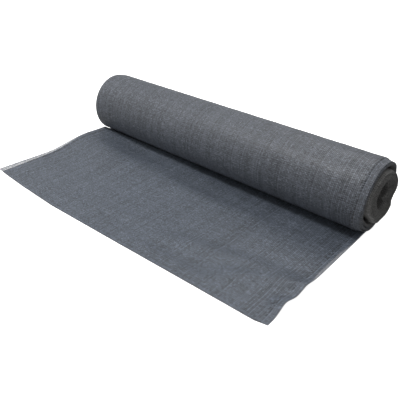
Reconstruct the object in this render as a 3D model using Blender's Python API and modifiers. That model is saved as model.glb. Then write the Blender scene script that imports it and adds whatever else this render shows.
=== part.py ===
"""A roll of knitted shade cloth on its side, with its loose end laid out in front of it.

Metres, +Z up. The roll's axis runs along X and the loose end reaches towards -Y.
The origin is on the floor under the middle of the roll. Angles round the roll are in
degrees from straight down, and grow towards the back (+Y), the top and then the front.
"""

import math

import bmesh
import bpy
import numpy as np

# The cloth and its roll
CLOTH_WIDTH = 1.000
SHEET_THICKNESS = 0.002
ROLL_RADIUS = 0.103
FLAT_SPOT_DEPTH = 0.0006
PIECE_GAP = 0.0003
AXIS_HEIGHT = ROLL_RADIUS - FLAT_SPOT_DEPTH

# Where the outermost turn runs down onto the floor and becomes the loose end
SEAM_ANGLE = -5.6
SEAM_SLANT = 0.25

# The hollow that the mandrel left: its mouth at the right end is wider and sags upwards
HOLLOW_RADIUS = 0.039
HOLLOW_OVAL = 0.0015
HOLLOW_TILT = 20.0
MOUTH_WIDER = 0.003
MOUTH_BACK = 0.007
MOUTH_UP = 0.009
MOUTH_DEPTH = 0.110
# The innermost turn lies in folds, whose ridges run along the hollow
FOLDS = (
    # degrees, height, half width in degrees
    (62.0, 0.0035, 13.0),
    (122.0, 0.0080, 14.0),
)

# Round the right end: where the gap between the outer and the inner turns lies
GAP_RADIUS = (
    # degrees, metres
    (0.0, 0.080),
    (45.0, 0.081),
    (90.0, 0.085),
    (145.0, 0.088),
    (180.0, 0.083),
    (250.0, 0.081),
    (285.0, 0.076),
    (318.0, 0.069),
)
GAP_WIDTH = (
    (0.0, 0.004),
    (90.0, 0.003),
    (152.0, 0.008),
    (195.0, 0.003),
    (260.0, 0.003),
    (325.0, 0.006),
)
# Round the right end: how far the outer and the inner turns stand past the cut width
OUTER_STANDS = (
    (0.0, 0.006),
    (90.0, 0.007),
    (150.0, 0.009),
    (230.0, 0.007),
    (310.0, 0.004),
)
INNER_STANDS = (
    (0.0, 0.020),
    (52.0, 0.024),
    (68.0, 0.019),
    (105.0, 0.023),
    (160.0, 0.017),
    (250.0, 0.014),
    (310.0, 0.019),
)
# Round the right end: how far the edges of the outer and the inner turns fan apart
OUTER_FAN = (
    (0.0, 0.7),
    (60.0, 0.4),
    (200.0, 0.3),
    (275.0, 0.4),
    (320.0, 1.3),
)
INNER_FAN = (
    (0.0, 0.1),
    (90.0, 0.4),
    (150.0, 0.8),
    (215.0, 1.2),
    (265.0, 0.6),
    (300.0, 0.1),
)
# Across the right end, from the outermost turn to the gap: share of the way, setback of
# the curled edge, and setback between two turns that fan apart
OUTER_TURNS = (
    (0.00, -0.030, 0.000),
    (0.05, -0.018, 0.000),
    (0.16, -0.009, 0.000),
    (0.27, -0.001, 0.000),
    (0.34, -0.001, 0.000),
    (0.39, 0.000, -0.009),
    (0.46, 0.001, 0.000),
    (0.63, 0.000, 0.000),
    (0.68, 0.000, -0.009),
    (0.74, 0.000, 0.000),
    (0.94, -0.002, 0.000),
    (1.00, -0.007, 0.000),
)
GAP_DEPTH = 0.022
# Across the right end, from the gap to the hollow, in the same way
INNER_TURNS = (
    (0.00, -0.011, 0.000),
    (0.05, -0.005, 0.000),
    (0.16, -0.001, 0.000),
    (0.36, 0.000, 0.000),
    (0.41, 0.000, -0.008),
    (0.48, 0.001, 0.000),
    (0.72, 0.002, 0.000),
    (0.76, 0.000, -0.005),
    (0.82, 0.002, 0.000),
    (0.93, 0.000, 0.000),
    (1.00, -0.006, 0.000),
)
# Across the left end, from the hollow to the outermost turn: the same turns drawn inwards
LEFT_TURNS = (
    (1.00, 0.030),
    (0.95, 0.022),
    (0.74, 0.018),
    (0.71, 0.024),
    (0.67, 0.016),
    (0.42, 0.012),
    (0.39, 0.019),
    (0.34, 0.010),
    (0.14, 0.003),
    (0.11, 0.009),
    (0.07, 0.001),
    (0.02, 0.000),
    (0.00, 0.006),
)
SIDE_STATIONS = (-0.44, -0.25, -0.08, 0.09, 0.26, 0.42, 0.468)
HOLLOW_STATIONS = (0.455, 0.39, 0.26, 0.09, -0.08, -0.25, -0.42)
COLUMNS_ROUND = 76

# The loose end's cut edge: how far in front of the roll's axis it lies
FRONT_EDGE = (
    # x, reach
    (-0.500, 0.4870),
    (-0.440, 0.4915),
    (-0.355, 0.4960),
    (-0.200, 0.5000),
    (0.030, 0.4920),
    (0.340, 0.4800),
    (0.470, 0.4750),
    (0.500, 0.4680),
)
# The bulge that the loose end keeps beside the roll, highest at the left selvedge
BULGE_HEIGHT = 0.0225
BULGE_REACH = (0.140, 0.320)
BULGE_ACROSS = (-0.460, 0.150)
ROLL_CLEARANCE = 0.002
# The right selvedge's ruffle, which lifts and draws in
RUFFLE_HEIGHT = 0.011
RUFFLE_REACH = 0.398
RUFFLE_SPREAD = 0.030
RUFFLE_WIDTH = 0.050
RUFFLE_DRAW = 0.003
# Low ridges across the loose end, by their ends
RIDGES = (
    # x and reach of one end, x and reach of the other, height, half width
    ((0.520, 0.295), (0.060, 0.410), 0.0050, 0.030),
    ((-0.120, 0.190), (0.330, 0.150), 0.0030, 0.034),
    ((-0.480, 0.420), (-0.180, 0.455), 0.0025, 0.022),
)
# The share of a ridge's length in which it fades out at each end
RIDGE_FADE = 0.25
SHEET_CELLS_ACROSS = 38
SHEET_CELLS_ALONG = 26
# How far the cells across crowd towards the selvedges
EDGE_CROWDING = 0.4

LOOSE_COLOUR = (0.115, 0.127, 0.147, 1.0)
WOUND_COLOUR = (0.095, 0.101, 0.110, 1.0)
CLOTH_ROUGHNESS = 0.62
SHARP_ANGLE = math.radians(40.0)


def clear_scene():
    for obj in list(bpy.data.objects):
        bpy.data.objects.remove(obj)


def make_material(name, colour):
    material = bpy.data.materials.new(name)
    material.use_nodes = True
    shader = material.node_tree.nodes["Principled BSDF"]
    shader.inputs["Base Color"].default_value = colour
    shader.inputs["Roughness"].default_value = CLOTH_ROUGHNESS
    shader.inputs["Metallic"].default_value = 0.0
    return material


def ease(share):
    """Runs smoothly from 0 to 1 as share does, level at both ends."""
    share = np.clip(share, 0.0, 1.0)
    return share * share * (3.0 - 2.0 * share)


def around(table, degrees):
    """The value that a table of (degrees, value) rows gives at each angle, eased between rows."""
    knots = np.array([row[0] for row in table] + [table[0][0] + 360.0])
    values = np.array([row[1] for row in table] + [table[0][1]])
    turned = degrees % 360.0
    index = np.searchsorted(knots, turned, side="right") - 1
    share = (turned - knots[index]) / (knots[index + 1] - knots[index])
    return values[index] + (values[index + 1] - values[index]) * ease(share)


def column_angles():
    """Angles from the seam once round, with the last column just short of the seam."""
    return SEAM_ANGLE + np.linspace(0.0, 360.0 - SEAM_SLANT, COLUMNS_ROUND)


def outer_radius(degrees):
    """The outermost turn, which draws in by one thickness in its way round."""
    under_side = AXIS_HEIGHT - SHEET_THICKNESS - PIECE_GAP
    drawn_in = ROLL_RADIUS - under_side / math.cos(math.radians(SEAM_ANGLE))
    return ROLL_RADIUS - drawn_in * (degrees - SEAM_ANGLE) / 360.0


def hollow_radius(degrees, x):
    """The hollow's wall: a slight oval, wider and off the axis near the right mouth, with
    the folds of the innermost turn as ridges along it."""
    turn = np.radians(degrees)
    near_mouth = ease((x - CLOTH_WIDTH / 2 + MOUTH_DEPTH) / MOUTH_DEPTH)
    shift = MOUTH_WIDER + MOUTH_BACK * np.sin(turn) - MOUTH_UP * np.cos(turn)
    radius = HOLLOW_RADIUS + HOLLOW_OVAL * np.cos(2.0 * np.radians(degrees - HOLLOW_TILT))
    radius = radius + shift * near_mouth
    for at, height, half_width in FOLDS:
        away = (degrees - at + 180.0) % 360.0 - 180.0
        radius = radius - height * np.exp(-((away / half_width) ** 2))
    return radius


def between(start, stop, share):
    return start + (stop - start) * share


def roll_stations(degrees):
    """The roll's section once round its wall, as (x, radius) rows: out along the side, in
    across the right end, back through the hollow and out across the left end."""
    end = CLOTH_WIDTH / 2
    side = outer_radius(degrees)
    gap_outside = around(GAP_RADIUS, degrees)
    gap_inside = gap_outside - around(GAP_WIDTH, degrees)
    outer_end = end + around(OUTER_STANDS, degrees)
    inner_end = end + around(INNER_STANDS, degrees)
    right_mouth = hollow_radius(degrees, end)
    left_mouth = hollow_radius(degrees, -end)
    level = np.ones_like(degrees)
    outer_fan = around(OUTER_FAN, degrees)
    inner_fan = around(INNER_FAN, degrees)

    stations = [(x * level, side) for x in SIDE_STATIONS]
    for share, curl, fanned in OUTER_TURNS:
        x = outer_end + curl + outer_fan * fanned
        stations.append((x, between(side, gap_outside, share)))
    stations.append((outer_end - GAP_DEPTH, gap_outside - PIECE_GAP))
    stations.append((outer_end - GAP_DEPTH, gap_inside + PIECE_GAP))
    for share, curl, fanned in INNER_TURNS:
        x = inner_end + curl + inner_fan * fanned
        stations.append((x, between(gap_inside, right_mouth, share)))
    for x in HOLLOW_STATIONS:
        stations.append((x * level, hollow_radius(degrees, x)))
    for share, drawn_in in LEFT_TURNS:
        stations.append(((drawn_in - end) * level, between(side, left_mouth, share)))
    return stations


def loft_ring(name, stations, degrees, material):
    """A closed body whose section at each angle is the loop of stations. It stands on a
    flat spot, because nothing goes below the floor."""
    turn = np.radians(degrees)
    x = np.array([station[0] for station in stations])
    radius = np.array([station[1] for station in stations])
    height = np.maximum(AXIS_HEIGHT - radius * np.cos(turn), 0.0)
    points = np.stack([x, radius * np.sin(turn), height], axis=2).reshape(-1, 3)
    rows, columns = x.shape
    row, column = np.meshgrid(np.arange(rows), np.arange(columns), indexing="ij")
    next_row, next_column = (row + 1) % rows, (column + 1) % columns
    corners = (
        row * columns + column,
        row * columns + next_column,
        next_row * columns + next_column,
        next_row * columns + column,
    )
    faces = np.stack(corners, axis=2).reshape(-1, 4)
    mesh = bpy.data.meshes.new(name)
    mesh.from_pydata(points.tolist(), [], faces.tolist())
    shell = bmesh.new()
    shell.from_mesh(mesh)
    bmesh.ops.recalc_face_normals(shell, faces=shell.faces)
    shell.to_mesh(mesh)
    shell.free()
    mesh.materials.append(material)
    mesh.shade_smooth()
    mesh.set_sharp_from_angle(angle=SHARP_ANGLE)
    return bpy.data.objects.new(name, mesh)


def under_roll(reach):
    """The highest that the cloth's underside may lie, this far in front of the axis. Past
    the roll's side nothing holds it down, and the axis height stands for no limit."""
    room = ROLL_RADIUS + ROLL_CLEARANCE
    inside = np.clip(room**2 - reach**2, 0.0, None)
    ceiling = AXIS_HEIGHT - np.sqrt(inside) - SHEET_THICKNESS
    return np.where(reach < room, np.maximum(ceiling, 0.0), AXIS_HEIGHT)


def ridge(x, reach, start, stop, height, half_width):
    """A soft ridge along the line between two places, fading out at both ends."""
    start, stop = np.array(start), np.array(stop)
    way = stop - start
    length = np.linalg.norm(way)
    along = ((x - start[0]) * way[0] + (reach - start[1]) * way[1]) / length**2
    aside = ((x - start[0]) * way[1] - (reach - start[1]) * way[0]) / length
    fade = ease(along / RIDGE_FADE) * ease((1.0 - along) / RIDGE_FADE)
    return height * fade * np.exp(-((aside / half_width) ** 2))


def right_ruffle(x, reach):
    """How much of the ruffle shows, from 1 at the middle of it on the right selvedge."""
    from_edge = CLOTH_WIDTH / 2 - x
    beside = np.exp(-(((reach - RUFFLE_REACH) / RUFFLE_SPREAD) ** 2))
    return beside * ease(1.0 - from_edge / RUFFLE_WIDTH)


def sheet_height(x, reach):
    """The height of the loose end's underside over the floor."""
    falls = ease((reach - BULGE_REACH[0]) / (BULGE_REACH[1] - BULGE_REACH[0]))
    fades = ease((x - BULGE_ACROSS[0]) / (BULGE_ACROSS[1] - BULGE_ACROSS[0]))
    height = BULGE_HEIGHT * (1.0 - falls) * (1.0 - fades)
    for start, stop, rise, half_width in RIDGES:
        height = height + ridge(x, reach, start, stop, rise, half_width)
    height = height + RUFFLE_HEIGHT * right_ruffle(x, reach)
    return np.minimum(height, under_roll(reach))


def back_edge_reach():
    """Where the loose end stops under the roll, one gap short of the outermost turn."""
    last = math.radians(SEAM_ANGLE - SEAM_SLANT)
    return -ROLL_RADIUS * math.sin(last) + PIECE_GAP


def make_loose_end(material):
    """The sheet in front of the roll: a grid laid on its folds, thickened upwards."""
    bpy.ops.mesh.primitive_grid_add(
        x_subdivisions=SHEET_CELLS_ACROSS, y_subdivisions=SHEET_CELLS_ALONG, size=2.0
    )
    sheet = bpy.context.object
    sheet.name = "loose_end"
    sheet.data.name = "loose_end"
    grid = np.empty(len(sheet.data.vertices) * 3)
    sheet.data.vertices.foreach_get("co", grid)
    across, along = grid.reshape(-1, 3)[:, 0], grid.reshape(-1, 3)[:, 1]
    crowded = between(across, np.sin(across * math.pi / 2), EDGE_CROWDING)
    x = CLOTH_WIDTH / 2 * crowded
    edge_x, edge_reach = np.array(FRONT_EDGE).T
    share = (1.0 - along) / 2
    reach = between(back_edge_reach(), np.interp(x, edge_x, edge_reach), share)
    height = sheet_height(x, reach)
    x = x - RUFFLE_DRAW * right_ruffle(x, reach)
    places = np.stack([x, -reach, height], axis=1)
    sheet.data.vertices.foreach_set("co", places.ravel())
    sheet.data.update()
    thicken = sheet.modifiers.new("cloth thickness", "SOLIDIFY")
    thicken.thickness = SHEET_THICKNESS
    thicken.offset = 1.0
    thicken.use_even_offset = False
    sheet.data.materials.append(material)
    sheet.data.shade_smooth()
    sheet.data.set_sharp_from_angle(angle=SHARP_ANGLE)
    return sheet


def main():
    clear_scene()
    collection = bpy.data.collections.new("shade_cloth_roll")
    bpy.context.scene.collection.children.link(collection)
    loose = make_material("loose_cloth", LOOSE_COLOUR)
    wound = make_material("wound_cloth", WOUND_COLOUR)
    degrees = column_angles()
    roll = loft_ring("wound_roll", roll_stations(degrees), degrees, wound)
    collection.objects.link(roll)
    sheet = make_loose_end(loose)
    for home in list(sheet.users_collection):
        home.objects.unlink(sheet)
    collection.objects.link(sheet)


main()
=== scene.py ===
"""Looks for a roll of knitted shade cloth whose loose end is laid out in front of it.

Metres, +Z up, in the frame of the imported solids. The roll's axis runs along X and the loose
end reaches towards -Y. Angles round the roll are in degrees from straight down, and grow
towards the back (+Y), the top and then the front. A turn is counted from 0, where the
outermost one leaves the floor, and grows inwards. On the cloth, u is the place across it,
from the left selvedge, and v the place along it, both in metres.
"""

import math

import bpy
import numpy as np
from mathutils import Matrix, Vector

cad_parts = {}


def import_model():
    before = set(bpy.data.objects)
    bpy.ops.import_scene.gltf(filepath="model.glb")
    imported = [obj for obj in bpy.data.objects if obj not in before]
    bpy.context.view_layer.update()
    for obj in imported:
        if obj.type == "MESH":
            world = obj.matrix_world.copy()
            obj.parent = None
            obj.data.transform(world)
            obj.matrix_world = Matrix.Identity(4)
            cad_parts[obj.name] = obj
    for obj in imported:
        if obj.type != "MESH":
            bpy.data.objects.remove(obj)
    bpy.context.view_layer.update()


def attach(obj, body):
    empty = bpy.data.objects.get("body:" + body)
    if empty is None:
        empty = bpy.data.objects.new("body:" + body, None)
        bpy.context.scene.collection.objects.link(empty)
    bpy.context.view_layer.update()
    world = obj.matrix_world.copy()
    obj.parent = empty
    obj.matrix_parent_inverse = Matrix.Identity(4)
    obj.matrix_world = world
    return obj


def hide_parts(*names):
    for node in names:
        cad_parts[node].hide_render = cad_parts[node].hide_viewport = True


# The cloth and its roll, as in the solids
CLOTH_WIDTH = 1.000
HALF_WIDTH = CLOTH_WIDTH / 2
SOLID_THICKNESS = 0.002
ROLL_RADIUS = 0.103
AXIS_HEIGHT = 0.1024
PIECE_GAP = 0.0003
SEAM_ANGLE = -5.6
# The outermost turn has drawn in where the loose end meets it, so this is below zero
ROLL_CLEARANCE = -0.0012

# The real cloth
CLOTH_THICKNESS = 0.0009
TURN_THICKNESS = 0.00060
WALE_PITCH = 0.00415
COURSE_PITCH = 0.0027

# The hollow, and the folds of the innermost turn
HOLLOW_RADIUS = 0.039
HOLLOW_OVAL = 0.0015
HOLLOW_TILT = 20.0
MOUTH_WIDER = 0.003
MOUTH_BACK = 0.007
MOUTH_UP = 0.009
MOUTH_DEPTH = 0.110
FOLDS = (
    # degrees, height, half width in degrees
    (62.0, 0.0035, 13.0),
    (122.0, 0.0080, 14.0),
)

# Round the right end: degrees and metres, as in the solids
GAP_RADIUS = (
    (0.0, 0.080),
    (45.0, 0.081),
    (90.0, 0.085),
    (145.0, 0.088),
    (180.0, 0.083),
    (250.0, 0.081),
    (285.0, 0.076),
    (318.0, 0.069),
)
GAP_WIDTH = (
    (0.0, 0.004),
    (90.0, 0.003),
    (152.0, 0.008),
    (195.0, 0.003),
    (260.0, 0.003),
    (325.0, 0.006),
)
# How much farther the gap opens than in the solids
GAP_OPENS = (
    (0.0, 0.0010),
    (90.0, 0.0000),
    (190.0, 0.0005),
    (260.0, 0.0008),
    (295.0, 0.0022),
    (335.0, 0.0022),
)
OUTER_STANDS = (
    (0.0, 0.006),
    (90.0, 0.007),
    (150.0, 0.009),
    (230.0, 0.007),
    (310.0, 0.004),
)
INNER_STANDS = (
    (0.0, 0.020),
    (52.0, 0.024),
    (68.0, 0.019),
    (105.0, 0.023),
    (160.0, 0.017),
    (250.0, 0.014),
    (310.0, 0.019),
)
OUTER_FAN = (
    (0.0, 0.7),
    (60.0, 0.4),
    (200.0, 0.3),
    (275.0, 0.4),
    (320.0, 1.3),
)
INNER_FAN = (
    (0.0, 0.1),
    (90.0, 0.4),
    (150.0, 0.8),
    (215.0, 1.2),
    (265.0, 0.6),
    (300.0, 0.1),
)
# Where the folds pull the inner turns' edges in: degrees, depth, half width in degrees
NOTCHES = ((64.0, 0.0060, 7.0), (118.0, 0.0070, 8.0))
# Across the right end: share of the way inwards, setback, setback where the turns fan apart
OUTER_SETBACK = (
    (0.00, -0.001, 0.000),
    (0.34, -0.001, 0.000),
    (0.39, 0.000, -0.009),
    (0.46, 0.001, 0.000),
    (0.63, 0.000, 0.000),
    (0.68, 0.000, -0.009),
    (0.74, 0.000, 0.000),
    (0.94, -0.002, 0.000),
    (1.00, -0.006, 0.000),
)
INNER_SETBACK = (
    (0.00, -0.001, 0.000),
    (0.36, 0.000, 0.000),
    (0.41, 0.000, -0.008),
    (0.48, 0.001, 0.000),
    (0.72, 0.002, 0.000),
    (0.76, 0.000, -0.005),
    (0.82, 0.002, 0.000),
    (0.93, 0.000, 0.000),
    (1.00, -0.003, 0.000),
)
# The share of the way inwards that the outermost turn starts at, past its curl
OUTER_CURL_SHARE = 0.27
# Across the left end: share of the way inwards, and how far the turns are drawn in
LEFT_DRAWN = (
    (0.00, 0.000),
    (0.07, 0.001),
    (0.11, 0.007),
    (0.14, 0.003),
    (0.34, 0.010),
    (0.39, 0.017),
    (0.42, 0.012),
    (0.67, 0.016),
    (0.71, 0.023),
    (0.74, 0.018),
    (0.95, 0.022),
    (1.00, 0.028),
)
# How far the selvedge of the outer and the inner turns curls in, and how wide that band is
OUTER_CURL = 0.0054
INNER_CURL = 0.0050
LEFT_CURL = 0.0030
CURL_BAND = 0.022
# The stitched rows of holes draw the cloth in: their inset, the step's width and its share
STITCHED_INSET = 0.0200
STITCHED_STEP = 0.0045
STITCHED_SHARE = 0.42
OUTER_TURNS = 24
INNER_TURNS = 40
TURN_COLUMNS = 120
SLOT_DEPTH = 0.0035
GAP_DEPTH = 0.020
# Painted shade: how dark every slot between turns is painted, and the setback at which a set-back
# edge is painted fully dark
SLOT_SHADE = 0.35
FULL_SHADE = 0.007

# The loose end's cut edge: x, and how far in front of the roll's axis it lies
FRONT_EDGE = (
    (-0.500, 0.4870),
    (-0.440, 0.4915),
    (-0.355, 0.4960),
    (-0.200, 0.5000),
    (0.030, 0.4920),
    (0.340, 0.4800),
    (0.470, 0.4750),
    (0.500, 0.4680),
)
BULGE_HEIGHT = 0.0225
BULGE_REACH = (0.140, 0.320)
BULGE_ACROSS = (-0.460, 0.150)
RUFFLE_HEIGHT = 0.011
RUFFLE_REACH = 0.398
RUFFLE_SPREAD = 0.030
RUFFLE_WIDTH = 0.050
RUFFLE_DRAW = 0.003
RIDGES = (
    # x and reach of one end, x and reach of the other, height, half width
    ((0.520, 0.295), (0.060, 0.410), 0.0050, 0.030),
    ((-0.120, 0.190), (0.330, 0.150), 0.0030, 0.034),
    ((-0.480, 0.420), (-0.180, 0.455), 0.0025, 0.022),
)
RIDGE_FADE = 0.25
# The creases and slight swells that the solids leave out, in the same columns
CREASES = (
    ((-0.290, 0.450), (-0.235, 0.425), 0.0022, 0.0060),
    ((-0.268, 0.472), (-0.232, 0.430), 0.0018, 0.0050),
    ((-0.235, 0.372), (-0.186, 0.440), 0.0026, 0.0060),
    ((-0.310, 0.300), (-0.230, 0.190), 0.0022, 0.0140),
    ((0.290, 0.432), (0.600, 0.262), 0.0085, 0.0270),
    ((0.030, 0.458), (0.400, 0.450), 0.0034, 0.0180),
    ((-0.080, 0.400), (0.060, 0.372), 0.0022, 0.0160),
)
# The hollow between the roll and the first swell: x, reach, depth, half length, half width
DENTS = (
    (-0.290, 0.100, 0.0140, 0.135, 0.052),
    (0.030, 0.130, 0.0035, 0.120, 0.034),
)

# Across the cloth, from a selvedge: the sheer left rim, and the two rows of stitched holes
LEFT_RIM = 0.0230
HOLE_ROWS = ((0.0168, 0.0190), (0.0222, 0.0246))
SELVEDGE = 0.032
CELL_ALONG = 0.0040

LOOSE_COLOUR = (0.093, 0.109, 0.136)
WOUND_COLOUR = (0.099, 0.109, 0.128)
END_COLOUR = (0.124, 0.123, 0.120)


# Shapes


def ease(share):
    """Runs smoothly from 0 to 1 as share does: three squares less two cubes."""
    share = np.clip(share, 0.0, 1.0)
    return share * share * (3.0 - 2.0 * share)


def between(start, stop, share):
    """The value that share of the way from start to stop gives."""
    return start + (stop - start) * share


def around(table, degrees):
    """The value that a table of (degrees, value) rows gives at each angle, eased between rows."""
    knots = np.array([row[0] for row in table] + [table[0][0] + 360.0])
    values = np.array([row[1] for row in table] + [table[0][1]])
    turned = degrees % 360.0
    index = np.searchsorted(knots, turned, side="right") - 1
    share = (turned - knots[index]) / (knots[index + 1] - knots[index])
    return values[index] + (values[index + 1] - values[index]) * ease(share)


def column(table, share, which):
    """One column of a table at each share, in straight lines between its rows."""
    rows = np.array(table)
    return np.interp(share, rows[:, 0], rows[:, which])


def uneven(seed, turn):
    """A random value from -1 to 1 for each whole turn, with a smooth run between them."""
    values = np.random.default_rng(seed).uniform(-1.0, 1.0, OUTER_TURNS + INNER_TURNS + 4)
    whole = np.clip(np.floor(turn).astype(int), 0, len(values) - 2)
    return between(values[whole], values[whole + 1], ease(turn - whole))


def drawn_in():
    """How far the outermost turn draws in on its way round, as in the solids."""
    under_side = AXIS_HEIGHT - SOLID_THICKNESS - PIECE_GAP
    return ROLL_RADIUS - under_side / math.cos(math.radians(SEAM_ANGLE))


def side_radius(turn):
    """The radius of the side: it falls by the same amount over the first turn, then stays."""
    return ROLL_RADIUS - drawn_in() * np.clip(turn, 0.0, 1.0)


def hollow_radius(degrees, x):
    """The hollow's wall: a slight oval, wider and off the axis near the right mouth, less a
    bell-shaped ridge along it for each fold of the innermost turn."""
    turned = np.radians(degrees)
    near_mouth = ease((x - HALF_WIDTH + MOUTH_DEPTH) / MOUTH_DEPTH)
    shift = MOUTH_WIDER + MOUTH_BACK * np.sin(turned) - MOUTH_UP * np.cos(turned)
    radius = HOLLOW_RADIUS + HOLLOW_OVAL * np.cos(2.0 * np.radians(degrees - HOLLOW_TILT))
    radius = radius + shift * near_mouth
    for at, height, half_width in FOLDS:
        away = (degrees - at + 180.0) % 360.0 - 180.0
        radius = radius - height * np.exp(-((away / half_width) ** 2))
    return radius


def past_gap(turn):
    """0 on the outer turns, 1 on the inner ones, with a short eased step between them."""
    return ease((turn - OUTER_TURNS) / 0.12 + 0.5)


def turn_fan(turn, degrees):
    """How far a turn's edge is set back where the turns fan apart at this angle."""
    outer = OUTER_CURL_SHARE + (1.0 - OUTER_CURL_SHARE) * turn / OUTER_TURNS
    inner = (turn - OUTER_TURNS) / INNER_TURNS
    outer_back = -around(OUTER_FAN, degrees) * column(OUTER_SETBACK, outer, 2)
    inner_back = -around(INNER_FAN, degrees) * column(INNER_SETBACK, inner, 2)
    return between(outer_back, inner_back, past_gap(turn))


def right_edge(turn, degrees):
    """Where a turn's edge lies at the right end: how far that group of turns stands out at
    this angle, its setback and fan there, and a small uneven part of its own."""
    outer = OUTER_CURL_SHARE + (1.0 - OUTER_CURL_SHARE) * turn / OUTER_TURNS
    inner = (turn - OUTER_TURNS) / INNER_TURNS
    waver = 0.0006 * np.sin(np.radians(3.0 * degrees) + 1.7 * turn)
    waver = waver + 0.0004 * np.sin(np.radians(8.0 * degrees) + 2.9 * turn)
    waver = waver + 0.0007 * uneven(5, turn)
    outer_x = around(OUTER_STANDS, degrees) + column(OUTER_SETBACK, outer, 1)
    inner_x = around(INNER_STANDS, degrees) + column(INNER_SETBACK, inner, 1)
    for at, depth, half_width in NOTCHES:
        away = (degrees - at + 180.0) % 360.0 - 180.0
        inner_x = inner_x - depth * ease(inner) * np.exp(-((away / half_width) ** 2))
    stands = between(outer_x, inner_x, past_gap(turn))
    return HALF_WIDTH + stands - turn_fan(turn, degrees) + waver


def right_radius(turn, degrees, inset):
    """A turn's radius this far inside its edge. The outer and the inner turns each share
    their room evenly. Their outermost ones curl in over the last of their width."""
    gap_outside = around(GAP_RADIUS, degrees)
    gap_inside = gap_outside - around(GAP_WIDTH, degrees)
    mouth = hollow_radius(degrees, HALF_WIDTH)
    outer = np.clip(turn / OUTER_TURNS, 0.0, 1.1)
    inner = (turn - OUTER_TURNS) / INNER_TURNS
    curl = ease(1.0 - inset / CURL_BAND) ** 1.5
    stitched = ease((STITCHED_INSET - inset) / STITCHED_STEP)
    drop = between(curl, stitched, STITCHED_SHARE)
    side = side_radius(turn) - OUTER_CURL * drop
    sleeve = gap_inside - INNER_CURL * curl - around(GAP_OPENS, degrees)
    return between(
        between(side, gap_outside, outer), between(sleeve, mouth, inner), past_gap(turn)
    )


def left_edge(turn, degrees):
    """Where a turn's edge lies at the left end: the same turns drawn inwards in steps, with
    a small uneven part."""
    share = turn / (OUTER_TURNS + INNER_TURNS)
    waver = 0.0007 * np.sin(np.radians(2.0 * degrees) + 1.3 * turn)
    waver = waver + 0.0008 * uneven(8, turn)
    return HALF_WIDTH - column(LEFT_DRAWN, share, 1) + waver * np.clip(turn, 0.0, 1.0)


def left_radius(turn, degrees, inset):
    """A turn's radius at the left end: an even share of the wall, less a curl that is
    strongest on the outermost turn."""
    share = turn / (OUTER_TURNS + INNER_TURNS)
    low = np.exp(-((((degrees + 180.0) % 360.0 - 140.0) / 45.0) ** 2))
    curl = LEFT_CURL * (1.0 - low) * ease(1.0 - inset / CURL_BAND) ** 1.5
    side = side_radius(turn) - curl
    return between(side, hollow_radius(degrees, -HALF_WIDTH), share)


def round_roll(x, radius, degrees):
    """Places at a radius and an angle round the axis. Nothing goes below the floor."""
    turned = np.radians(degrees)
    height = np.maximum(AXIS_HEIGHT - radius * np.cos(turned), 0.0)
    return np.stack([x, radius * np.sin(turned), height], axis=-1)


def under_roll(reach):
    """The highest that the loose end's underside may lie, this far in front of the axis."""
    room = ROLL_RADIUS + ROLL_CLEARANCE
    inside = np.clip(room**2 - reach**2, 0.0, None)
    ceiling = AXIS_HEIGHT - np.sqrt(inside) - CLOTH_THICKNESS
    return np.where(reach < room, np.maximum(ceiling, 0.0), AXIS_HEIGHT)


def ridge(x, reach, start, stop, height, half_width):
    """A soft ridge along the line between two places: bell-shaped across, and fading out
    at both ends."""
    start, stop = np.array(start), np.array(stop)
    way = stop - start
    length = np.linalg.norm(way)
    along = ((x - start[0]) * way[0] + (reach - start[1]) * way[1]) / length**2
    aside = ((x - start[0]) * way[1] - (reach - start[1]) * way[0]) / length
    fade = ease(along / RIDGE_FADE) * ease((1.0 - along) / RIDGE_FADE)
    return height * fade * np.exp(-((aside / half_width) ** 2))


def right_ruffle(x, reach):
    """How much of the ruffle shows, from 1 at the middle of it on the right selvedge."""
    from_edge = HALF_WIDTH - x
    beside = np.exp(-(((reach - RUFFLE_REACH) / RUFFLE_SPREAD) ** 2))
    return beside * ease(1.0 - from_edge / RUFFLE_WIDTH)


def ripple(x, reach):
    """The cloth's own small unevenness: a sum of a few slow waves at different slants."""
    wave = np.sin(61.0 * x + 17.0 * reach + 0.6) * np.sin(9.0 * x - 47.0 * reach + 1.1)
    wave = wave + 0.6 * np.sin(131.0 * x - 29.0 * reach) * np.sin(23.0 * x + 83.0 * reach)
    return 0.00022 * (1.0 + wave / 1.6)


def loose_height(x, reach):
    """The height of the loose end's underside: the bulge beside the roll, the ridges, the
    creases, the ruffle and the ripple, held down where the roll lies on it."""
    falls = ease((reach - BULGE_REACH[0]) / (BULGE_REACH[1] - BULGE_REACH[0]))
    fades = ease((x - BULGE_ACROSS[0]) / (BULGE_ACROSS[1] - BULGE_ACROSS[0]))
    height = BULGE_HEIGHT * (1.0 - falls) * (1.0 - fades)
    for start, stop, rise, half_width in RIDGES + CREASES:
        height = height + ridge(x, reach, start, stop, rise, half_width)
    for at_x, at_reach, depth, half_length, half_width in DENTS:
        away = ((x - at_x) / half_length) ** 2 + ((reach - at_reach) / half_width) ** 2
        height = height - depth * np.exp(-away)
    height = np.maximum(height, 0.0)
    height = height + RUFFLE_HEIGHT * right_ruffle(x, reach) + ripple(x, reach)
    return np.minimum(height, under_roll(reach))


def across_cloth(middle_cell):
    """Places across the cloth: fine cells in both selvedges, and even cells between them."""
    from_edge = [0.0, 0.0015, 0.0035, 0.0060, 0.0090, 0.0120, 0.0155]
    for start, stop in HOLE_ROWS:
        from_edge += [start, stop]
    from_edge += [0.0285, SELVEDGE]
    left = np.array(from_edge)
    cells = int(round((CLOTH_WIDTH - 2 * SELVEDGE) / middle_cell))
    middle = np.linspace(SELVEDGE, CLOTH_WIDTH - SELVEDGE, cells + 1)[1:-1]
    return np.concatenate([left, middle, CLOTH_WIDTH - left[::-1]])


# Meshes


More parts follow.
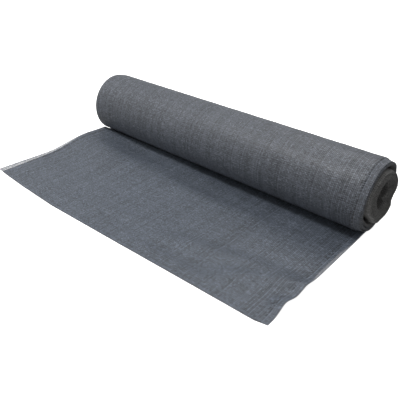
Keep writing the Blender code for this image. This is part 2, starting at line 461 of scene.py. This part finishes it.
def quads(rows, columns):
    """The corners of each cell of a grid, as a rows by columns by 4 array of numbers."""
    row, place = np.meshgrid(np.arange(rows), np.arange(columns), indexing="ij")
    first = row * (columns + 1) + place
    return np.stack([first, first + 1, first + columns + 2, first + columns + 1], axis=2)


def make_piece(name, places, faces, marks, material):
    """A mesh object from places, faces and the cloth's own u and v at each place."""
    mesh = bpy.data.meshes.new(name)
    mesh.from_pydata(places.reshape(-1, 3).tolist(), [], faces.reshape(-1, 4).tolist())
    corner = np.empty(len(mesh.loops), np.int32)
    mesh.loops.foreach_get("vertex_index", corner)
    layer = mesh.uv_layers.new(name="cloth")
    layer.data.foreach_set("uv", marks.reshape(-1, 2)[corner].astype(np.float32).ravel())
    mesh.materials.append(material)
    mesh.shade_smooth()
    mesh.update()
    piece = bpy.data.objects.new(name, mesh)
    bpy.context.scene.collection.objects.link(piece)
    return piece


def thicken(piece, thickness, offset):
    """Gives a sheet its thickness."""
    wall = piece.modifiers.new("cloth thickness", "SOLIDIFY")
    wall.thickness = thickness
    wall.offset = offset
    wall.use_even_offset = False
    return piece


def make_loose_cloth(material):
    """The loose end: a grid of u across and v along, laid on its folds, with its thickness
    below the grid."""
    u = across_cloth(0.0080)
    x = u - HALF_WIDTH
    back = -ROLL_RADIUS * math.sin(math.radians(SEAM_ANGLE)) + PIECE_GAP
    front = column(FRONT_EDGE, x, 1)
    count = int(round((0.49 - back) / CELL_ALONG))
    share = np.linspace(0.0, 1.0, count + 1)[:, None]
    reach = between(front[None, :], back, share)
    x = np.broadcast_to(x, reach.shape)
    height = loose_height(x, reach) + CLOTH_THICKNESS
    lift = (SOLID_THICKNESS - CLOTH_THICKNESS) * (1.0 - ease((reach - 0.03) / 0.06))
    height = np.maximum(height, CLOTH_THICKNESS + lift)
    drawn = x - RUFFLE_DRAW * right_ruffle(x, reach)
    places = np.stack([drawn, -reach, height], axis=-1)
    marks = np.stack([np.broadcast_to(u, reach.shape), front[None, :] - reach], axis=-1)
    faces = quads(count, len(u) - 1)
    piece = make_piece("loose_cloth", places, faces, marks, material)
    return thicken(piece, CLOTH_THICKNESS, -1.0)


def outermost_places(u, turn, degrees):
    """The outermost turn: the side's radius in the middle, and each end's edge and curl."""
    right, left = right_edge(turn, degrees), left_edge(turn, degrees)
    grown = right - HALF_WIDTH
    x = u - HALF_WIDTH + grown * ease((u - 0.90) / 0.10)
    x = np.where(u < 0.10, between(-left, x, ease(u / 0.10)), x)
    radius_right = right_radius(turn, degrees, right - x)
    radius_left = left_radius(turn, degrees, left + x)
    band = 0.00028 * np.sin(97.0 * u + 0.8) * np.sin(41.0 * u + 0.3)
    band = band + 0.00012 * np.sin(np.radians(2.0 * degrees) + 53.0 * u)
    radius = np.where(u > 0.5, radius_right, radius_left) + band - 0.0003
    return x, radius


def make_outermost_turn(material):
    """The turn that shows on the roll's side: a grid of u across and of the angle round."""
    u = across_cloth(0.0120)[None, :]
    count = int(round(2.0 * math.pi * ROLL_RADIUS / CELL_ALONG))
    turn = np.linspace(0.0, 1.0, count + 1)[:, None]
    degrees = SEAM_ANGLE + 360.0 * turn
    x, radius = outermost_places(u, turn, degrees)
    places = round_roll(x, radius, np.broadcast_to(degrees, x.shape))
    along = 0.49 + 2.0 * math.pi * ROLL_RADIUS * turn
    marks = np.stack(np.broadcast_arrays(u, along), axis=-1)
    faces = quads(count, u.shape[1] - 1)[..., ::-1]
    piece = make_piece("outermost_turn", places, faces, marks, material)
    return thicken(piece, CLOTH_THICKNESS, -1.0)


def make_end_turns(name, edge, radius, hand, material):
    """The edges of all the turns at one end, as one surface that runs along the spiral.
    Across it go six places: the slot's floor against the turn outside it, the slot's floor
    against this turn, two places up its wall, and both sides of this turn's edge. The last
    is joined to the first of the turn inside it."""
    total = OUTER_TURNS + INNER_TURNS
    count = (total - 1) * TURN_COLUMNS
    turn = 1.0 + np.arange(count + TURN_COLUMNS + 1) / TURN_COLUMNS
    degrees = SEAM_ANGLE + 360.0 * turn
    here, before = edge(turn, degrees), edge(turn - 1.0, degrees)
    gap = ease((turn - OUTER_TURNS + 0.06) / 0.03) * ease((OUTER_TURNS + 1.0 - turn) / 0.03)
    depth = SLOT_DEPTH + (GAP_DEPTH - SLOT_DEPTH) * gap * (hand > 0)
    level = np.minimum(here, before)
    floor = level - depth
    set_back = turn_fan(turn, degrees) * (hand > 0)
    # Painted shade: darkest in the gap between the outer and the inner turns and on edges set back
    # where the turns fan apart, and SLOT_SHADE in every other slot
    shaded = np.clip(set_back / FULL_SHADE, 0.0, 1.0)
    dark = np.maximum(np.maximum(gap, shaded), SLOT_SHADE)
    outside = radius(turn - 1.0, degrees, before - floor) - TURN_THICKNESS
    along = 0.49 + 2.0 * math.pi * 0.072 * turn
    edge_radius = radius(turn, degrees, here * 0.0)
    rows = (
        # place along the roll, radius, how much painted shade it gets in its slot
        (floor, outside, dark),
        (floor, radius(turn, degrees, here - floor), dark),
        (level - 0.0010, radius(turn, degrees, here - level + 0.0010), dark),
        (level - 0.0003, radius(turn, degrees, here - level + 0.0003), dark * 0.3),
        (here, edge_radius, shaded),
        (here, edge_radius - TURN_THICKNESS, shaded),
    )
    x = np.stack([hand * row[0] for row in rows])
    far = np.stack([row[1] for row in rows])
    places = round_roll(x, far, np.broadcast_to(degrees, x.shape))
    inset = np.stack([here - row[0] for row in rows])
    u = CLOTH_WIDTH - inset if hand > 0 else inset
    marks = np.stack([u, np.broadcast_to(along, u.shape)], axis=-1)
    stride = len(turn)
    spot = np.arange(count)[:, None]
    row = np.arange(5)[None, :]
    first = row * stride + spot
    walls = np.stack([first, first + 1, first + stride + 1, first + stride], axis=-1)
    last = 5 * stride + spot
    inner = spot + TURN_COLUMNS
    joins = np.stack([last, last + 1, inner + 1, inner], axis=-1)
    faces = np.concatenate([walls, joins], axis=1).reshape(-1, 4)
    if hand > 0:
        faces = faces[:, ::-1]
    piece = make_piece(name, places, faces, marks, material)
    # Each place's painted shade, by which the material darkens its colour
    painted_shade = np.stack([np.broadcast_to(row[2], x.shape[1:]) for row in rows])
    layer = piece.data.attributes.new("painted_shade", "FLOAT", "POINT")
    layer.data.foreach_set("value", painted_shade.astype(np.float32).ravel())
    return piece


def make_hollow_lining(material):
    """The innermost turn, as it lines the hollow: a grid of x along it and the angle round,
    whose end laps over its start."""
    total = OUTER_TURNS + INNER_TURNS
    share = np.concatenate([np.linspace(0, 0.08, 9)[:-1], np.linspace(0.08, 1.0, 34)])
    lap = np.linspace(0.0, 1.0, TURN_COLUMNS + 1)
    degrees = (SEAM_ANGLE + 368.0 * lap)[:, None]
    turn = total - 0.4 + 0.6 * lap[:, None]
    right = right_edge(turn, degrees) - 0.002
    left = -left_edge(turn, degrees)
    x = between(right, left, share[None, :])
    wide = hollow_radius(degrees, x) - 0.0012 * lap[:, None]
    places = round_roll(x, wide, np.broadcast_to(degrees, x.shape))
    along = 20.0 + 2.0 * math.pi * HOLLOW_RADIUS * lap[:, None]
    marks = np.stack(np.broadcast_arrays(x + HALF_WIDTH, along), axis=-1)
    faces = quads(TURN_COLUMNS, len(share) - 1).reshape(-1, 4)
    piece = make_piece("hollow_lining", places, faces[:, ::-1], marks, material)
    # Painted shade over the whole lining, so that the hollow looks darker
    layer = piece.data.attributes.new("painted_shade", "FLOAT", "POINT")
    layer.data.foreach_set("value", np.full(x.size, 0.40, np.float32))
    return thicken(piece, 0.0006, 1.0)


# Materials


def link(tree, source, target):
    """Joins one node's output to another node's input."""
    tree.links.new(source, target)


def sum_up(tree, operation, first, second=None, third=None):
    """A maths node: each input is a number or another node's output."""
    node = tree.nodes.new("ShaderNodeMath")
    node.operation = operation
    for socket, value in zip(node.inputs, (first, second, third)):
        if value is None:
            continue
        if isinstance(value, (int, float)):
            socket.default_value = value
        else:
            link(tree, value, socket)
    return node.outputs[0]


def step_down(tree, value, low, high):
    """1 below low, 0 above high, and smooth between them."""
    node = tree.nodes.new("ShaderNodeMapRange")
    node.interpolation_type = "SMOOTHSTEP"
    link(tree, value, node.inputs["Value"])
    node.inputs["From Min"].default_value = low
    node.inputs["From Max"].default_value = high
    node.inputs["To Min"].default_value = 1.0
    node.inputs["To Max"].default_value = 0.0
    return node.outputs["Result"]


def pair(tree, first, second):
    """A vector of two values."""
    node = tree.nodes.new("ShaderNodeCombineXYZ")
    for socket, value in zip(node.inputs, (first, second)):
        if isinstance(value, (int, float)):
            socket.default_value = value
        else:
            link(tree, value, socket)
    return node.outputs[0]


def vector(tree, values):
    """A node that gives three fixed values."""
    node = tree.nodes.new("ShaderNodeCombineXYZ")
    for socket, value in zip(node.inputs, values):
        socket.default_value = value
    return node.outputs[0]


def chance(tree, first, second):
    """A random value from 0 to 1 for each pair of whole numbers."""
    node = tree.nodes.new("ShaderNodeTexWhiteNoise")
    node.noise_dimensions = "2D"
    link(tree, pair(tree, first, second), node.inputs["Vector"])
    return node.outputs["Value"]


def cloud(tree, first, second, scale, detail):
    """A soft random value, about 0.5, of this scale."""
    node = tree.nodes.new("ShaderNodeTexNoise")
    node.noise_dimensions = "2D"
    link(tree, pair(tree, first, second), node.inputs["Vector"])
    node.inputs["Scale"].default_value = scale
    node.inputs["Detail"].default_value = detail
    return node.outputs[0]


def knitted(name, colour, inner_colour, sheer):
    """Knitted flat plastic yarn: chains of stitches along the cloth, one to each wale, with
    slanting tapes laid in between them. Each stitch, each wale and each patch has its own
    tone, and the selvedges have their own bands. A few stitches carry a painted glint, the
    rows of stitched holes get painted shade and the cut edge a thin painted shadow. Deep in
    the roll the colour goes over to the inner one, and painted shade darkens the slots
    between turns and the hollow."""
    material = bpy.data.materials.new(name)
    material.use_nodes = True
    tree = material.node_tree
    shader = tree.nodes["Principled BSDF"]
    source = tree.nodes.new("ShaderNodeUVMap")
    source.uv_map = "cloth"
    parts = tree.nodes.new("ShaderNodeSeparateXYZ")
    link(tree, source.outputs[0], parts.inputs[0])
    u, v = parts.outputs[0], parts.outputs[1]

    waver = sum_up(tree, "SUBTRACT", cloud(tree, u, v, 60.0, 2.0), 0.5)
    wale = sum_up(tree, "DIVIDE", sum_up(tree, "MULTIPLY_ADD", waver, 0.0016, u), WALE_PITCH)
    wale_number = sum_up(tree, "FLOOR", wale)
    aside = sum_up(tree, "SUBTRACT", sum_up(tree, "FRACT", wale), 0.5)
    off_chain = sum_up(tree, "ABSOLUTE", aside)
    half_step = sum_up(tree, "MULTIPLY", sum_up(tree, "MODULO", wale_number, 2.0), 0.5)
    course = sum_up(tree, "DIVIDE", v, COURSE_PITCH)
    course = sum_up(tree, "ADD", course, sum_up(tree, "MULTIPLY", waver, 0.9))
    stitch = sum_up(tree, "ADD", course, half_step)
    stitch_number = sum_up(tree, "FLOOR", stitch)
    in_stitch = sum_up(tree, "FRACT", stitch)

    turned = sum_up(tree, "MULTIPLY", sum_up(tree, "SUBTRACT", in_stitch, 0.5), 2.0)
    loop = sum_up(tree, "SUBTRACT", 1.0, sum_up(tree, "MULTIPLY", turned, turned))
    chain = sum_up(tree, "MULTIPLY", step_down(tree, off_chain, 0.07, 0.19), loop)
    slanted = sum_up(tree, "MULTIPLY_ADD", off_chain, 1.3, course)
    in_tape = sum_up(tree, "ABSOLUTE", sum_up(tree, "SUBTRACT", sum_up(tree, "FRACT", slanted), 0.5))
    tape = step_down(tree, in_tape, 0.30, 0.46)
    height = sum_up(tree, "MAXIMUM", chain, sum_up(tree, "MULTIPLY", tape, 0.6))

    each_stitch = chance(tree, wale_number, stitch_number)
    other_chance = chance(tree, stitch_number, wale_number)
    each_wale = chance(tree, wale_number, 0.5)
    each_course = chance(tree, sum_up(tree, "FLOOR", course), 7.5)
    streak = cloud(tree, sum_up(tree, "MULTIPLY", wale_number, 0.83), v, 5.0, 1.0)
    patch = cloud(tree, u, v, 9.0, 1.0)
    every_other = sum_up(tree, "MODULO", stitch_number, 2.0)
    # Painted glints: a few random stitches are made much lighter
    painted_glint = sum_up(tree, "SUBTRACT", 1.0, step_down(tree, other_chance, 0.88, 0.95))
    shade = sum_up(tree, "MULTIPLY_ADD", each_stitch, 0.80, -0.74)
    shade = sum_up(tree, "MULTIPLY_ADD", painted_glint, 0.80, shade)
    shade = sum_up(tree, "MULTIPLY_ADD", every_other, 0.46, shade)
    shade = sum_up(tree, "MULTIPLY_ADD", half_step, 0.24, shade)
    beside = step_down(tree, off_chain, 0.26, 0.44)
    shade = sum_up(tree, "MULTIPLY_ADD", beside, 0.60, shade)
    shade = sum_up(tree, "MULTIPLY_ADD", each_wale, 0.40, shade)
    shade = sum_up(tree, "MULTIPLY_ADD", each_course, 0.24, shade)
    shade = sum_up(tree, "MULTIPLY_ADD", streak, 0.40, shade)
    shade = sum_up(tree, "MULTIPLY_ADD", patch, 0.24, shade)
    shade = sum_up(tree, "MULTIPLY_ADD", height, 0.42, shade)

    from_right = sum_up(tree, "SUBTRACT", CLOTH_WIDTH, u)
    from_edge = sum_up(tree, "MINIMUM", u, from_right)
    dense = step_down(tree, from_edge, 0.0160, 0.0170)
    shade = sum_up(tree, "MULTIPLY_ADD", dense, 0.10, shade)
    # Painted shade: dark dashes along the two rows of stitched holes
    for (start, stop), each in zip(HOLE_ROWS, (each_stitch, other_chance)):
        row = sum_up(
            tree,
            "SUBTRACT",
            step_down(tree, from_edge, stop - 0.0004, stop + 0.0004),
            step_down(tree, from_edge, start - 0.0004, start + 0.0004),
        )
        painted_hole_shade = sum_up(tree, "MULTIPLY", row, step_down(tree, each, 0.50, 0.80))
        shade = sum_up(tree, "MULTIPLY_ADD", painted_hole_shade, -0.85, shade)
    # Painted shadow: a thin dark line along the loose end's cut edge, with a lighter first row of
    # knit just inside it
    cut = step_down(tree, v, 0.0018, 0.0030)
    first_row = sum_up(tree, "SUBTRACT", step_down(tree, v, 0.0070, 0.0085), cut)
    shade = sum_up(tree, "MULTIPLY_ADD", cut, -0.45, shade)
    shade = sum_up(tree, "MULTIPLY_ADD", first_row, 0.22, shade)
    shade = sum_up(tree, "MAXIMUM", shade, 0.08)
    tint = tree.nodes.new("ShaderNodeVectorMath")
    tint.operation = "SCALE"
    deep = sum_up(tree, "SUBTRACT", 1.0, step_down(tree, v, 6.0, 12.0))
    blend = tree.nodes.new("ShaderNodeMix")
    blend.data_type = "VECTOR"
    link(tree, deep, blend.inputs["Factor"])
    link(tree, vector(tree, colour), blend.inputs["A"])
    link(tree, vector(tree, inner_colour), blend.inputs["B"])
    link(tree, blend.outputs["Result"], tint.inputs[0])
    # Painted shade read from the pieces' attribute darkens the colour of the slots between turns and
    # of the hollow
    painted_shade = tree.nodes.new("ShaderNodeAttribute")
    painted_shade.attribute_name = "painted_shade"
    lit = sum_up(tree, "MULTIPLY_ADD", painted_shade.outputs["Fac"], -0.92, 1.0)
    link(tree, sum_up(tree, "MULTIPLY", shade, lit), tint.inputs["Scale"])
    link(tree, tint.outputs[0], shader.inputs["Base Color"])

    gloss = sum_up(tree, "MULTIPLY_ADD", other_chance, -0.12, 0.50)
    link(tree, gloss, shader.inputs["Roughness"])
    shader.inputs["Specular IOR Level"].default_value = 0.85
    bump = tree.nodes.new("ShaderNodeBump")
    bump.inputs["Strength"].default_value = 0.8
    bump.inputs["Distance"].default_value = 0.0006
    lean = sum_up(tree, "MULTIPLY", sum_up(tree, "SUBTRACT", each_stitch, 0.5), aside)
    tilt = sum_up(tree, "SUBTRACT", other_chance, 0.5)
    tilt = sum_up(tree, "MULTIPLY", tilt, sum_up(tree, "SUBTRACT", in_stitch, 0.5))
    relief = sum_up(tree, "MULTIPLY_ADD", lean, 1.6, height)
    relief = sum_up(tree, "MULTIPLY_ADD", tilt, 1.2, relief)
    link(tree, relief, bump.inputs["Height"])
    link(tree, bump.outputs[0], shader.inputs["Normal"])

    narrowing = sum_up(tree, "MULTIPLY_ADD", sum_up(tree, "MINIMUM", v, 0.49), 0.062, u)
    left_rim = step_down(tree, narrowing, LEFT_RIM, LEFT_RIM + 0.0015)
    off_middle = sum_up(tree, "ABSOLUTE", sum_up(tree, "SUBTRACT", v, 0.275))
    widening = sum_up(tree, "MULTIPLY", step_down(tree, off_middle, 0.05, 0.11), 0.0055)
    right_rim = step_down(tree, sum_up(tree, "SUBTRACT", from_right, widening), 0.0015, 0.003)
    right_rim = sum_up(tree, "MULTIPLY", right_rim, 0.68)
    open_share = sum_up(tree, "MAXIMUM", left_rim, right_rim)
    outer_thread = step_down(tree, u, 0.0010, 0.0018)
    thread = sum_up(tree, "MULTIPLY_ADD", each_stitch, 0.30, sum_up(tree, "MULTIPLY", height, 0.30))
    thread = sum_up(tree, "MAXIMUM", thread, sum_up(tree, "MULTIPLY", outer_thread, 0.8))
    gone = sum_up(tree, "MULTIPLY", open_share, sum_up(tree, "SUBTRACT", 1.0, thread))
    solid = sum_up(tree, "SUBTRACT", 1.0, sum_up(tree, "MULTIPLY", gone, sheer))
    link(tree, solid, shader.inputs["Alpha"])
    return material


def plain(name, colour, glow):
    """A smooth pale surface that glows a little."""
    material = bpy.data.materials.new(name)
    material.use_nodes = True
    shader = material.node_tree.nodes["Principled BSDF"]
    shader.inputs["Base Color"].default_value = (*colour, 1.0)
    shader.inputs["Roughness"].default_value = 0.9
    shader.inputs["Emission Color"].default_value = (*colour, 1.0)
    shader.inputs["Emission Strength"].default_value = glow
    return material


# Studio


def make_room():
    """A wide pale floor, and pale walls and a ceiling far away that only the camera sees."""
    half = 14.0
    corners = np.array([(-half, -half), (half, -half), (half, half), (-half, half)])
    white = plain("studio_white", (0.93, 0.93, 0.93), 0.97)
    low = np.column_stack([corners, np.full(4, -0.0004)])
    high = np.column_stack([corners, np.full(4, 2.0 * half)])
    sides = [(0, 4, 5, 1), (1, 5, 6, 2), (2, 6, 7, 3), (3, 7, 4, 0), (4, 7, 6, 5)]
    parts = (
        ("studio_floor", low, [(0, 1, 2, 3)]),
        ("studio_walls", np.concatenate([low, high]), sides),
    )
    for name, places, faces in parts:
        mesh = bpy.data.meshes.new(name)
        mesh.from_pydata(places.tolist(), [], faces)
        mesh.materials.append(white)
        part = bpy.data.objects.new(name, mesh)
        bpy.context.scene.collection.objects.link(part)
        part.visible_diffuse = False
        part.visible_glossy = False
        part.visible_shadow = False


def make_light(name, place, target, size, power):
    """A square soft light at a place, turned to its target."""
    lamp = bpy.data.lights.new(name, "AREA")
    lamp.shape = "SQUARE"
    lamp.size = size
    lamp.energy = power
    light = bpy.data.objects.new(name, lamp)
    bpy.context.scene.collection.objects.link(light)
    light.visible_camera = False
    place, target = Vector(place), Vector(target)
    turned = (target - place).to_track_quat("-Z", "Y").to_matrix().to_4x4()
    light.matrix_world = Matrix.Translation(place) @ turned


def make_camera():
    """The camera at the photograph's viewing angle."""
    data = bpy.data.cameras.new("camera")
    data.sensor_width = 36.0
    data.lens = 43.14
    camera = bpy.data.objects.new("camera", data)
    bpy.context.scene.collection.objects.link(camera)
    camera.matrix_world = (
        Matrix.Translation((0.8398, -1.0959, 0.702))
        @ Matrix.Rotation(math.radians(40.13), 4, "Z")
        @ Matrix.Rotation(math.radians(90.0 - 30.69), 4, "X")
        @ Matrix.Rotation(math.radians(2.02), 4, "Z")
    )
    bpy.context.scene.camera = camera


def make_studio():
    """Floor, pale surroundings and soft lights."""
    make_room()
    world = bpy.data.worlds.new("studio")
    bpy.context.scene.world = world
    world.use_nodes = True
    around_all = world.node_tree.nodes["Background"]
    around_all.inputs["Color"].default_value = (1.0, 1.0, 1.0, 1.0)
    around_all.inputs["Strength"].default_value = 0.33
    make_light("main", (-0.48, -0.98, 2.15), (0.0, -0.05, 0.05), 0.40, 18.5)
    make_light("top", (0.0, -0.30, 2.40), (0.0, -0.05, 0.05), 1.8, 4.5)
    make_light("back", (-0.30, 1.15, 1.90), (0.0, -0.05, 0.05), 0.9, 9.5)
    make_light("left", (-2.20, -0.30, 0.90), (0.0, -0.05, 0.05), 1.0, 3.5)
    bpy.context.scene.view_settings.view_transform = "Standard"


def main():
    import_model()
    make_camera()
    make_studio()
    loose = knitted("loose_knit", LOOSE_COLOUR, LOOSE_COLOUR, 0.8)
    wound = knitted("wound_knit", WOUND_COLOUR, END_COLOUR, 0.5)
    ends = knitted("end_knit", WOUND_COLOUR, END_COLOUR, 0.0)

    loose_cloth = make_loose_cloth(loose)
    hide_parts("loose_end")
    outermost = make_outermost_turn(wound)
    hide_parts("wound_roll")
    right = make_end_turns("right_end_turns", right_edge, right_radius, 1.0, ends)
    left = make_end_turns("left_end_turns", left_edge, left_radius, -1.0, ends)
    lining = make_hollow_lining(ends)
    for piece in (loose_cloth, outermost, right, left, lining):
        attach(piece, "root")


main()
